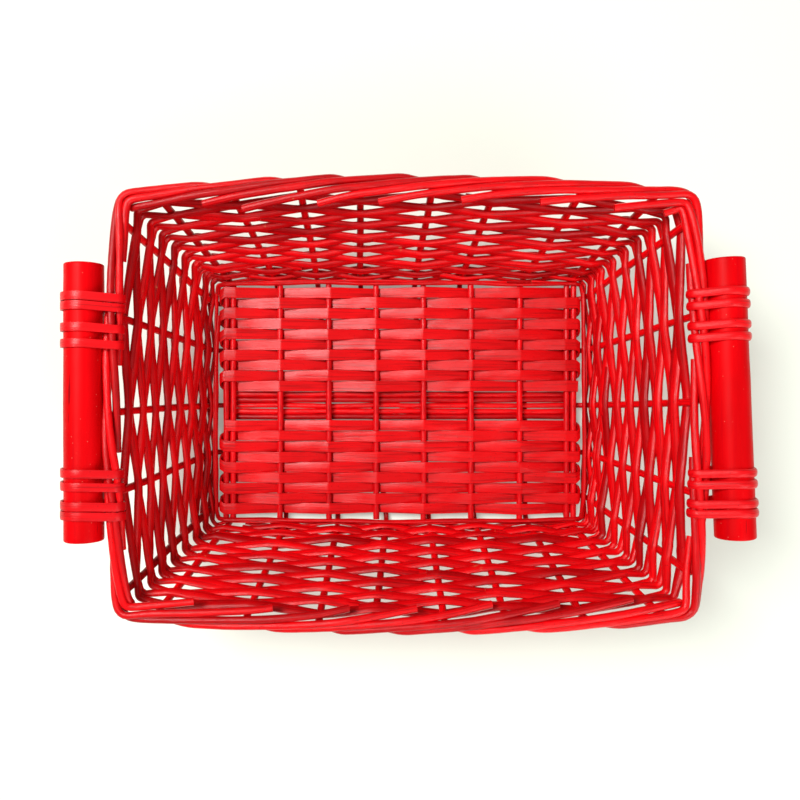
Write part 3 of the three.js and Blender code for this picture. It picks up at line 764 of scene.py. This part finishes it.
# Weavers
# Fifteen courses of oval willow rods fill the wall, in front of one stake and behind the next. A
# course takes two rods, a stout and a slimmer one, kinked at the corners, each with its tip laid on
# the other's butt. Thin rods fill the lowest courses, and three more lie inside along the foot.
COURSES = 15
FOOT_COURSES = 3
FIRST_COURSE = 0.004
FOOT_COURSE_PITCH = 0.0051
TOP_COURSE_DROP = 0.0108
COURSE_PLAY = 0.0011
FOOT_COURSE_PLAY = 0.0003
FLATNESS = 0.62
DEPTH_PLAY = 0.12
LEAN_PLAY = 0.22
FOOT_SLIMMING = 0.74
CORNER_SLIMMING = 0.26
CORNER_REACH = 0.03
FRONT_SWELLING = 0.15
WEAVE_OFFSET = 0.0026
BEND_SHARE = 0.14
KINK_ANGLES = (27, 63)
KINK_REACH = 0.0013
WALL_SLANT = math.radians(22)
OVAL_SIDES = 12

# Where a course's two rods begin, counted in stakes: the first on the left or in front, the second
# about half a lap on. Then their diameters at the butt and at the tip, how far each end runs past
# its stake, and how far the tip is lifted and the butt pressed down where they overlap.
FIRST_BUTTS = range(14, 24)
SECOND_AFTER = 12
STOUT_W = (0.0071, 0.0066)
SLIM_W = (0.0068, 0.0062)
BUTT_PLAY = (0.93, 1.03)
TIP_PLAY = (0.95, 1.06)
BUTT_PAST = (0.18, 0.3)
TIP_PAST = (0.45, 0.75)
TIP_LIFT = 0.0012
BUTT_DROP = 0.0011
JOIN_REACH = 1.3
END_CLEAR = 0.05
WEAVER_WANDER = 0.0004

# Thin rods, one lap each: how far up they lie from the course's own height, and how far inside
THIN_W = (0.0040, 0.0034)
THIN_START = 0.3
THIN_GAP = 0.4
FILLER_LIFT = 0.0024
LOWEST_FILLER_LIFT = -0.0034
FOOT_RODS = ((-0.0034, 0.0030), (-0.0010, 0.0052), (0.0004, 0.0070))
FOOT_ROD_STEP = 7
FOOT_ROD_WANDER = 0.0012

weave_posts = posts_round_the_wall(KINK_ANGLES)
wall_slant = (stake_posts[2].rim - stake_posts[2].foot).length
last_foot_course = FIRST_COURSE + FOOT_COURSE_PITCH * (FOOT_COURSES - 1)
course_pitch = (wall_slant - TOP_COURSE_DROP - last_foot_course) / (COURSES - FOOT_COURSES)


def course_height(course):
    if course < FOOT_COURSES:
        return FIRST_COURSE + FOOT_COURSE_PITCH * course
    return last_foot_course + course_pitch * (course - FOOT_COURSES + 1)


def side_of_wall(course, count):
    """Outside of the stake at this count is 1, inside is -1. Neighbouring courses differ."""
    return 1 if (math.floor(count) + COURSES - 1 - course) % 2 == 0 else -1


def weaver_place(course, count, bulge, lift, inset):
    """The middle of a course's rod at this count of stakes. A negative bulge takes it to the
    other side of each stake, and none leaves it straight."""
    total = len(weave_posts)
    lap = count % STAKE_ENDS
    i = max(k for k, post in enumerate(weave_posts) if post.count <= lap + 1e-9)
    here = weave_posts[i]
    there = weave_posts[(i + 1) % total]
    next_count = there.count if there.count > here.count else STAKE_ENDS
    part = (lap - here.count) / (next_count - here.count)
    sway = noise.noise(Vector((lap * 0.55, course * 5.3, 0.5)))
    play = FOOT_COURSE_PLAY if course < FOOT_COURSES else COURSE_PLAY
    height = course_height(course) + play * sway + lift
    share = height / wall_slant
    point = here.foot.lerp(here.rim, share).lerp(there.foot.lerp(there.rim, share), part)
    normal = here.normal.lerp(there.normal, part).normalized()
    swing = side_of_wall(course, math.floor(lap)) * (1 - 2 * (lap - math.floor(lap)))
    return point + normal * (swing * bulge - inset)


def up_the_wall(ahead):
    outwards = ahead.cross(Vector((0, 0, 1))).normalized()
    return Vector((0, 0, math.cos(WALL_SLANT))) + outwards * math.sin(WALL_SLANT)


def nearness_to_corner(point):
    """1 at a corner of the wall, and 0 where it is 30 mm off or more."""
    share = (point.z - foot_z) / (wall_top_z - foot_z)
    from_middle = point - MIDDLE
    way_x = FOOT_HALF[0] + (RIM_HALF[0] - FOOT_HALF[0]) * share - abs(from_middle.x)
    way_y = FOOT_HALF[1] + (RIM_HALF[1] - FOOT_HALF[1]) * share - abs(from_middle.y)
    return max(0.0, 1 - max(way_x, way_y) / CORNER_REACH)


def oval_rod(name, path, start_w, end_w, wander):
    """An oval rod that lies flat in the wall and tapers from its butt to its tip. It is squeezed
    slimmer at the corners, and the front wall has the stoutest."""
    shift = noise_shift(random.Random(name))
    rings = with_rings(path, RING_SPACING)
    swayed = [point + noise.noise_vector(point / WANDER_REACH + shift) * wander for point in rings]
    turns = [math.tau * side / OVAL_SIDES for side in range(OVAL_SIDES)]
    oval = [(math.cos(turn) / 2, math.sin(turn) / 2 * FLATNESS) for turn in turns]

    def shape(i, point):
        width = start_w + (end_w - start_w) * i / len(rings)
        depth = width * (1 + DEPTH_PLAY * noise.noise(point / 0.03 - shift))
        nearness = nearness_to_corner(point)
        in_front = point.y < MIDDLE.y - FOOT_HALF[1]
        stouter = FRONT_SWELLING * (1 - nearness) if in_front else 0.0
        swell = SWELLING * noise.noise(point / SWELLING_REACH + shift)
        width *= 1 + swell + stouter - CORNER_SLIMMING * nearness
        return width, depth, LEAN_PLAY * noise.noise(point / 0.02)

    return swept_strip(name, swayed, oval, up_the_wall, shape)


def weaver_rod(name, course, first, last, butt, tip, raised=0.0, swap=1, inset=0.0):
    """One rod from the count of one stake to that of another. `swap` is 1 for the course's own
    side of each stake, -1 for the other side and 0 for a straight rod."""
    bulge = swap * WEAVE_OFFSET / (1 - BEND_SHARE)
    lap = math.floor(first / STAKE_ENDS) * STAKE_ENDS
    laps = (lap, lap + STAKE_ENDS, lap + 2 * STAKE_ENDS)
    counts = [post.count + turn for turn in laps for post in weave_posts]
    inner = [count for count in counts if first + END_CLEAR < count < last - END_CLEAR]
    corners = []
    reaches = []
    for count in [first] + inner + [last]:
        at_tip = max(0.0, 1 - (last - count) / JOIN_REACH)
        at_butt = max(0.0, 1 - (count - first) / JOIN_REACH)
        lift = TIP_LIFT * at_tip - BUTT_DROP * at_butt
        corners.append(weaver_place(course, count, bulge, lift + raised, inset))
        at_stake = abs(count - round(count)) < 1e-6
        reaches.append(None if at_stake else KINK_REACH)
    for i in range(1, len(corners) - 1):
        if reaches[i] is None:
            nearest = min((corners[i] - corners[i - 1]).length, (corners[i + 1] - corners[i]).length)
            reaches[i] = BEND_SHARE * nearest
    wander = FOOT_ROD_WANDER if inset else WEAVER_WANDER
    return oval_rod(name, rounded(corners, reaches, steps=6), butt, tip, wander)


def thin_rod(name, course, start, lift, swap=-1, inset=0.0):
    """A thin rod that goes once round and stops just short of where it began."""
    end = start + STAKE_ENDS - THIN_GAP
    return weaver_rod(name, course, start, end, *THIN_W, lift, swap, inset)


def add_course(course):
    node = f"weaver_{course + 1:02d}"
    chance = random.Random(node)
    inside = [count for count in FIRST_BUTTS if side_of_wall(course, count) < 0]
    first = chance.choice(inside)
    second = first + SECOND_AFTER + 2 * chance.randint(0, 1)
    rods = []
    runs = ((first, second, STOUT_W), (second, first + STAKE_ENDS, SLIM_W))
    for number, (start, end, sizes) in enumerate(runs):
        before = start - chance.uniform(*BUTT_PAST)
        after = end + chance.uniform(*TIP_PAST)
        slimming = FOOT_SLIMMING if course < FOOT_COURSES else 1.0
        butt = sizes[0] * chance.uniform(*BUTT_PLAY) * slimming
        tip = sizes[1] * chance.uniform(*TIP_PLAY) * slimming
        rods.append(weaver_rod(f"{node}_{number}", course, before, after, butt, tip))
    if course < FOOT_COURSES:
        start = chance.choice(range(STAKE_ENDS)) + THIN_START
        rods.append(thin_rod(node + "_filler", course, start, FILLER_LIFT))
    if course == 0:
        start = chance.choice(range(STAKE_ENDS)) + THIN_START
        rods.append(thin_rod(node + "_lowest", course, start, LOWEST_FILLER_LIFT))
        for number, (lift, inset) in enumerate(FOOT_RODS):
            start += FOOT_ROD_STEP
            rods.append(thin_rod(f"{node}_foot_{number}", course, start, lift, 0, inset))
    weaver = joined(rods, node + "_rods")
    lumps(weaver)
    weaver.data.materials.append(willow_red)
    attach(weaver, "root")
    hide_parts(node)


for course in range(COURSES):
    add_course(course)


# Handles
# A round rod of beech, painted red, lies outside each short end against the border. The right one
# is tied on a little askew. The paint has fine drying cracks along the grain.
HANDLE_SIDES = 64
HANDLE_RINGS = 60
HANDLE_EDGE = 0.0011
HANDLE_END_INSET = 0.35
HANDLE_LUMP_SIZE = 0.03
HANDLE_LUMP_HEIGHT = 0.0005
RIGHT_HANDLE_TILT = math.radians(2.3)
PAINT_BRIGHT = (0.78, 0.0004, 0.003, 1)
PAINT_DULL = (0.60, 0.0003, 0.002, 1)
PAINT_STREAK = (0.45, 0.001, 0.006, 1)
PAINT_CRACK = (0.16, 0.002, 0.004, 1)
PAINT_CHIP = (0.85, 0.22, 0.16, 1)


def painted_wood(name):
    """Satin red paint, brushed along the rod, with hairline cracks and a few chips."""
    material = fresh_material(name)
    tree = material.node_tree
    place = shader(tree, "TexCoord").outputs["Object"]
    stretched = shader(tree, "Mapping", {"Vector": place, "Scale": (420.0, 9.0, 420.0)}).outputs[0]
    coarse = shader(tree, "Mapping", {"Vector": place, "Scale": (70.0, 14.0, 70.0)}).outputs[0]
    brushed = shader(tree, "TexNoise", {"Vector": stretched, "Scale": 1.0, "Detail": 4.0}).outputs[0]
    cloud = shader(tree, "TexNoise", {"Vector": coarse, "Scale": 1.0, "Detail": 3.0}).outputs[0]
    split = shader(tree, "Mapping", {"Vector": place, "Scale": (330.0, 24.0, 330.0)}).outputs[0]
    crack = shader(tree, "TexNoise", {"Vector": split, "Scale": 1.0, "Detail": 2.0}).outputs[0]
    dot = shader(tree, "TexVoronoi", {"Vector": place, "Scale": 240.0}).outputs[0]
    colour = mixed(tree, between(tree, cloud, 0.35, 0.65), PAINT_DULL, PAINT_BRIGHT)
    colour = mixed(tree, between(tree, brushed, 0.45, 0.25, 0.0, 0.35), colour, PAINT_STREAK)
    colour = mixed(tree, between(tree, crack, 0.262, 0.245, 0.0, 0.7), colour, PAINT_CRACK)
    colour = mixed(tree, between(tree, dot, 0.09, 0.04, 0.0, 0.5), colour, PAINT_CHIP)
    roughness = between(tree, brushed, 0.3, 0.7, 0.34, 0.46)
    finish_surface(tree, colour, roughness, brushed, relief=0.16, gloss=0.06)
    return material


def select_edges(piece, wanted):
    """Selects the edges whose two ends pass the test."""
    vertices = piece.data.vertices
    for edge in piece.data.edges:
        edge.select = wanted(*(vertices[i].co for i in edge.vertices))


def add_handle(node, tilt):
    low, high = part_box(node)
    radius = (high.z - low.z) / 2
    length = (high.y - low.y - 2 * radius * abs(math.sin(tilt))) / math.cos(tilt)
    centre = (low + high) / 2
    bpy.ops.mesh.primitive_cylinder_add(vertices=HANDLE_SIDES, radius=radius, depth=length)
    handle = bpy.context.object
    handle.name = node + "_rod"
    bpy.ops.object.mode_set(mode="EDIT")
    bpy.ops.mesh.select_all(action="DESELECT")
    bpy.ops.mesh.select_mode(type="FACE")
    bpy.ops.object.mode_set(mode="OBJECT")
    for face in handle.data.polygons:
        face.select = abs(face.normal.z) > 0.9
    bpy.ops.object.mode_set(mode="EDIT")
    bpy.ops.mesh.inset(thickness=radius * HANDLE_END_INSET, depth=0)
    bpy.ops.mesh.select_mode(type="EDGE")
    bpy.ops.object.mode_set(mode="OBJECT")
    rim_r = radius * 0.98
    select_edges(handle, lambda a, b: a.z == b.z and min(a.xy.length, b.xy.length) > rim_r)
    bpy.ops.object.mode_set(mode="EDIT")
    bpy.ops.mesh.bevel(offset=HANDLE_EDGE, segments=4, affect="EDGES")
    bpy.ops.mesh.select_all(action="DESELECT")
    bpy.ops.object.mode_set(mode="OBJECT")
    select_edges(handle, lambda a, b: abs(a.z - b.z) > length / 2)
    bpy.ops.object.mode_set(mode="EDIT")
    bpy.ops.mesh.subdivide(number_cuts=HANDLE_RINGS)
    bpy.ops.object.mode_set(mode="OBJECT")
    handle.rotation_euler = (math.radians(90), 0, tilt)
    handle.location = centre
    only(handle)
    bpy.ops.object.transform_apply(location=True, rotation=True, scale=True)
    lumps(handle, HANDLE_LUMP_SIZE, HANDLE_LUMP_HEIGHT)
    bpy.ops.object.shade_smooth_by_angle(angle=math.radians(40))
    handle.data.materials.append(handle_red)
    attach(handle, "root")
    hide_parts(node)


handle_red = painted_wood("handle_red")
add_handle("handle_left", 0.0)
add_handle("handle_right", RIGHT_HANDLE_TILT)


# Lashings
# Each handle is bound to the border in two places with one length of half-round cane, four turns
# in each. The cane goes under the handle from turn to turn, and both its ends are tucked there.
CANE_W = 0.0052
CANE_T = 0.0017
CANE_LEAN = -0.0011
CANE_SEAT = 0.0001
CANE_ROOM = 0.0050
CANE_PLAY = 0.0001
CANE_BITE = 0.0008
TURN_GAP = 0.0005
BELOW_BORDER = 0.0026
WEAVER_CLEAR = 0.0005
BEND_ALLOWANCE = 0.0015
ARC_STEPS = 16
FIRST_TUCK = 0.4
FIRST_TUCK_SLIP = 0.003
LAST_TUCK = 0.9
LAST_TUCK_SLIP = 0.0024
CANE_PALE = (0.93, 0.0012, 0.005, 1)
CANE_DEEP = (0.60, 0.0005, 0.004, 1)
border_r = STRAND_R + STRAND_D / 2 - CANE_BITE

# Side of the basket, its stake's shares, and free way to the inner and the outer turn in front
# and behind
LASHINGS = {
    "lashing_left_back": (-1, END_STAKES[3][0], (0.0005, 0.0042), (0.0008, 0)),
    "lashing_left_front": (-1, END_STAKES[1][0], (0, 0.0004), (0, 0.0023)),
    "lashing_right_back": (1, END_STAKES[3][1], (0.0001, 0.0017), (0.0006, 0.0018)),
    "lashing_right_front": (1, END_STAKES[1][1], (0, 0.0002), (0, 0.0012)),
}


def half_round(width, thickness):
    """The outline of half-round cane: flat below, round above."""
    outline = [(-width / 4, -thickness / 2), (width / 4, -thickness / 2)]
    for step in range(13):
        angle = math.radians(-12 + 204 * step / 12)
        side = math.cos(angle) * width / 2
        rise = -thickness * 0.25 + math.sin(angle) * thickness * 0.75
        outline.append((side, rise))
    return outline


def turn_places(lashing):
    side, (foot, rim), front, back = lashing
    pass_z = RIM_Z - border_r - BELOW_BORDER
    share = (pass_z - foot_z) / (wall_top_z - foot_z)
    stake_y = foot * FOOT_HALF[1] * (1 - share) + rim * RIM_HALF[1] * share
    clear = STAKE_D / 2 + CANE_ROOM / 2 + WEAVER_CLEAR
    pitch = CANE_ROOM + TURN_GAP
    front_inner = stake_y - clear - (BEND_ALLOWANCE if side < 0 else 0) - front[0]
    back_inner = stake_y + clear + (BEND_ALLOWANCE if side > 0 else 0) + back[0]
    return [front_inner - pitch - front[1], front_inner, back_inner, back_inner + pitch + back[1]]


def border_x(y):
    share = y / RIM_HALF[1]
    return RIM_HALF[0] + RIM_BOW_ENDS * (1 - share * share)


def lashing_path(node):
    lashing = LASHINGS[node]
    side = lashing[0]
    handle_low, handle_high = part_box("handle_left" if side < 0 else "handle_right")
    tilt = 0.0 if side < 0 else RIGHT_HANDLE_TILT
    handle_r = (handle_high.z - handle_low.z) / 2
    middle = (handle_low + handle_high) / 2
    outer_r = handle_r + CANE_SEAT + CANE_T / 2
    inner_r = border_r + CANE_SEAT + CANE_T / 2
    chance = random.Random(node)
    places = [y + chance.uniform(-CANE_PLAY, CANE_PLAY) for y in turn_places(lashing)]
    path = []

    def arc(centre, radius, start, end, from_y, to_y, steps):
        for step in range(steps + 1):
            part = step / steps
            angle = start + (end - start) * part
            ease = part * part * (3 - 2 * part)
            x = side * (centre[0] + radius * math.cos(angle))
            y = from_y + (to_y - from_y) * ease
            z = centre[1] + radius * math.sin(angle)
            path.append(Vector((x, y, z)) + MIDDLE)

    for turn, y in enumerate(places):
        handle_at = (side * (middle.x - MIDDLE.x - (y - middle.y) * math.tan(tilt)), middle.z)
        border_at = (border_x(y), RIM_Z)
        inward = (border_at[0] - handle_at[0], border_at[1] - handle_at[1])
        tangent = math.acos((outer_r - inner_r) / math.hypot(*inward))
        lean = math.atan2(inward[1], inward[0])
        from_y = places[turn - 1] if turn else y - (places[1] - places[0])
        under_end = lean - 2 * math.pi + tangent
        under_start = lean - math.pi
        if turn == 0:
            tuck = under_start + (under_end - under_start) * FIRST_TUCK
            arc(handle_at, outer_r, tuck, under_end, y - FIRST_TUCK_SLIP, y, ARC_STEPS // 2)
        else:
            arc(handle_at, outer_r, under_start, under_end, from_y, y, ARC_STEPS)
        border_y = y + CANE_LEAN
        arc(border_at, inner_r, lean + tangent - 2 * math.pi, lean - tangent - 2 * math.pi,
            border_y, border_y, ARC_STEPS)
        arc(handle_at, outer_r, lean - tangent, lean - math.pi, y, y, ARC_STEPS)
        if turn == len(places) - 1:
            tuck = under_start - LAST_TUCK
            arc(handle_at, outer_r, under_start, tuck, y, y + LAST_TUCK_SLIP, ARC_STEPS // 2)
    return path


def without_repeats(path):
    kept = [path[0]]
    for point in path[1:]:
        if (point - kept[-1]).length > 1e-5:
            kept.append(point)
    return kept


cane_red = stained_wood("cane_red", CANE_PALE, CANE_DEEP, streaks=(3.0, 24.0), rough=(0.28, 0.40),
                        worn=0.72, grain=0.3)
for node in LASHINGS:
    path = without_repeats(lashing_path(node))
    lashing = swept_strip(node + "_cane", path, half_round(CANE_W, CANE_T), along_y)
    lumps(lashing)
    lashing.data.materials.append(cane_red)
    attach(lashing, "root")
    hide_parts(node)


# Studio
# A white floor that keeps the basket's shadow, a pale even sky, a soft key lamp high on the left, a
# wider fill lamp low at the front right, and a camera that looks straight down on the basket.
FLOOR_HALF = 4.0
CAMERA_PLACE = (-0.0254, 0.0106, 0.570)
CAMERA_LENS = 34.65
CAMERA_SHIFT = (0.041, -0.016)
CAMERA_SENSOR = 36.0
LAMPS = (
    ("key_lamp", (-0.84, 0.48, 1.66), 0.70, 36.0),
    ("fill_lamp", (0.85, -1.15, 1.05), 1.20, 17.0),
)
SKY = 0.27
FLOOR_LIFT = 0.25
FLOOR_WHITE = (0.66, 0.70, 0.62, 1)
FLOOR_GLOW = (1, 0.99, 0.88, 1)


def white_floor():
    """White paper, lifted a little for the camera and in reflections, but not as a lamp."""
    material = fresh_material("white_floor")
    tree = material.node_tree
    rays = shader(tree, "LightPath")
    seen = rays.outputs["Is Camera Ray"]
    for kind in ("Is Glossy Ray", "Is Transmission Ray"):
        inputs = {0: seen, 1: rays.outputs[kind]}
        seen = shader(tree, "Math", inputs, operation="MAXIMUM").outputs[0]
    lift = product_of(tree, seen, FLOOR_LIFT)
    paper = shader(tree, "BsdfDiffuse", {"Color": FLOOR_WHITE}).outputs[0]
    glow = shader(tree, "Emission", {"Color": FLOOR_GLOW, "Strength": lift}).outputs[0]
    both = shader(tree, "AddShader", {0: paper, 1: glow}).outputs[0]
    shader(tree, "OutputMaterial", {"Surface": both})
    return material


bpy.ops.mesh.primitive_plane_add(size=2 * FLOOR_HALF, location=(0, 0, 0))
floor = bpy.context.object
floor.name = "floor"
floor.data.materials.append(white_floor())
floor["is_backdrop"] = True

world = bpy.data.worlds.new("pale_sky")
bpy.context.scene.world = world
world.use_nodes = True
sky = world.node_tree.nodes["Background"]
sky.inputs["Color"].default_value = (1, 1, 1, 1)
sky.inputs["Strength"].default_value = SKY

for name, place, size, power in LAMPS:
    bpy.ops.object.light_add(type="AREA", location=place)
    lamp = bpy.context.object
    lamp.name = name
    lamp.data.size = size
    lamp.data.energy = power
    lamp.rotation_euler = (-Vector(place)).to_track_quat("-Z", "Y").to_euler()

bpy.ops.object.camera_add(location=CAMERA_PLACE, rotation=(0, 0, 0))
camera = bpy.context.object
camera.name = "camera"
camera.data.lens = CAMERA_LENS
camera.data.sensor_width = CAMERA_SENSOR
camera.data.shift_x, camera.data.shift_y = CAMERA_SHIFT
bpy.context.scene.camera = camera
bpy.context.scene.view_settings.view_transform = "Standard"

low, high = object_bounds()
